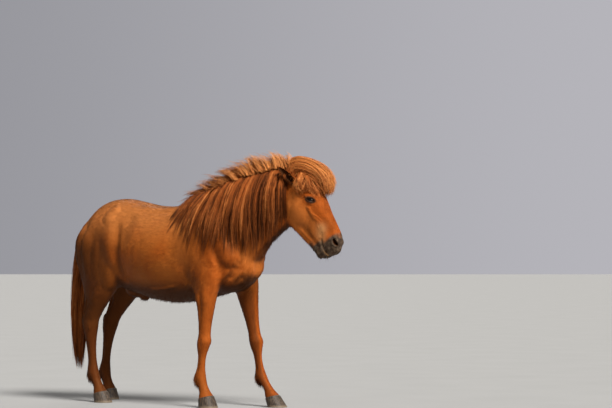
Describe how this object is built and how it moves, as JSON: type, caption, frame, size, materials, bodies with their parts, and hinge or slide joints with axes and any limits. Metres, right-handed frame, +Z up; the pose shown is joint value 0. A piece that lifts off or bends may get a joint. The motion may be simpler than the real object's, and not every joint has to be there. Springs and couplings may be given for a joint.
{
  "type": "icelandic horse model",
  "caption": "Still life-size model of a chestnut Icelandic horse, standing with its head held low, a thick wind-blown mane, a full forelock and a long tail.",
  "frame": {"origin": "on the floor under the middle of the horse's box", "axes": "+X ahead of the horse, +Y to its left, +Z up"},
  "size_m": [2.1294, 0.6013, 1.5981],
  "materials": {
    "coat": "short dense coat, chestnut",
    "hair": "long coarse hair, chestnut",
    "horn": "dull dark horn",
    "eye": "wet gloss, dark brown"
  },
  "bodies": {
    "root": {"torso": "coat", "neck": "coat", "head": "coat", "ear_right": "coat", "ear_left": "coat", "eye_right": "eye", "eye_left": "eye", "foreleg_upper_right": "coat", "foreleg_lower_right": "coat", "hoof_fore_right": "horn", "foreleg_upper_left": "coat", "foreleg_lower_left": "coat", "hoof_fore_left": "horn", "hindleg_upper_right": "coat", "hindleg_lower_right": "coat", "hoof_hind_right": "horn", "hindleg_upper_left": "coat", "hindleg_lower_left": "coat", "hoof_hind_left": "horn", "mane_right": "hair", "mane_left": "hair", "forelock": "hair", "tail": "hair"}
  },
  "joints": []
}
